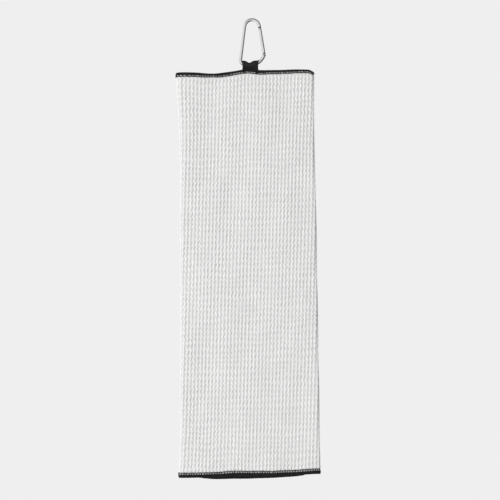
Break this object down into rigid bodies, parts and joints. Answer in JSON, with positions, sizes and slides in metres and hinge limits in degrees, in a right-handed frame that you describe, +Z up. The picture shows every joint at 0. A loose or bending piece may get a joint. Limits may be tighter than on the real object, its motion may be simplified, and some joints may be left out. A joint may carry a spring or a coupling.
{
  "type": "golf towel",
  "caption": "Waffle-weave golf towel folded in thirds lengthwise, with dark overlocked edges and a sewn webbing loop that hangs it from a snap-gate carabiner.",
  "frame": {"origin": "the inside of the carabiner's top bend, where a bag's ring bears", "axes": "+Z up, +X to the right seen from the front panel, +Y to the back, so the front panel faces -Y"},
  "size_m": [0.1748, 0.0119, 0.5701],
  "materials": {
    "carabiner_aluminium": "polished",
    "pin_steel": "satin",
    "spring_steel": "satin",
    "webbing_black": "woven polyester tape",
    "edging_thread": "overlocked polyester thread",
    "waffle_cloth": "matte waffle-weave microfibre"
  },
  "bodies": {
    "carabiner": {"carabiner_frame": "carabiner_aluminium"},
    "gate": {"gate_rod": "carabiner_aluminium", "gate_pivot_rivet": "pin_steel", "latch_pin": "pin_steel", "gate_plunger": "pin_steel", "gate_spring": "spring_steel"},
    "loop": {"webbing_loop": "webbing_black"},
    "towel": {"webbing_tails": "webbing_black", "loop_bar_tacks": "edging_thread", "front_panel": "waffle_cloth", "right_fold": "waffle_cloth", "inner_flap": "waffle_cloth", "left_fold_front": "waffle_cloth", "top_edging": "edging_thread", "bottom_edging": "edging_thread", "inner_side_edging": "edging_thread"},
    "outer_flap": {"left_fold_back": "waffle_cloth", "outer_flap": "waffle_cloth", "outer_top_edging": "edging_thread", "outer_bottom_edging": "edging_thread", "outer_side_edging": "edging_thread"}
  },
  "joints": [
    {"name": "gate_hinge", "type": "hinge", "parent": "carabiner", "child": "gate", "pos_m": [0.01473, 0, -0.03983], "axis": [0, -1, 0], "range_deg": [0, 30], "stiffness_Nm_per_rad": 0.03, "springref_deg": -17.19, "deforming": ["gate_spring"]},
    {"name": "loop_slide", "type": "hinge", "parent": "carabiner", "child": "loop", "pos_m": [-0.0032, 0, -0.0348], "axis": [0, -1, 0], "range_deg": [0, 26]},
    {"name": "towel_swing", "type": "hinge", "parent": "loop", "child": "towel", "pos_m": [-0.0021, 0, -0.0578], "axis": [1, 0, 0], "range_deg": [-60, 60]},
    {"name": "flap_fold", "type": "hinge", "parent": "towel", "child": "outer_flap", "pos_m": [-0.09, 0.0016, -0.31], "axis": [0, 0, 1], "range_deg": [0, 178]}
  ]
}
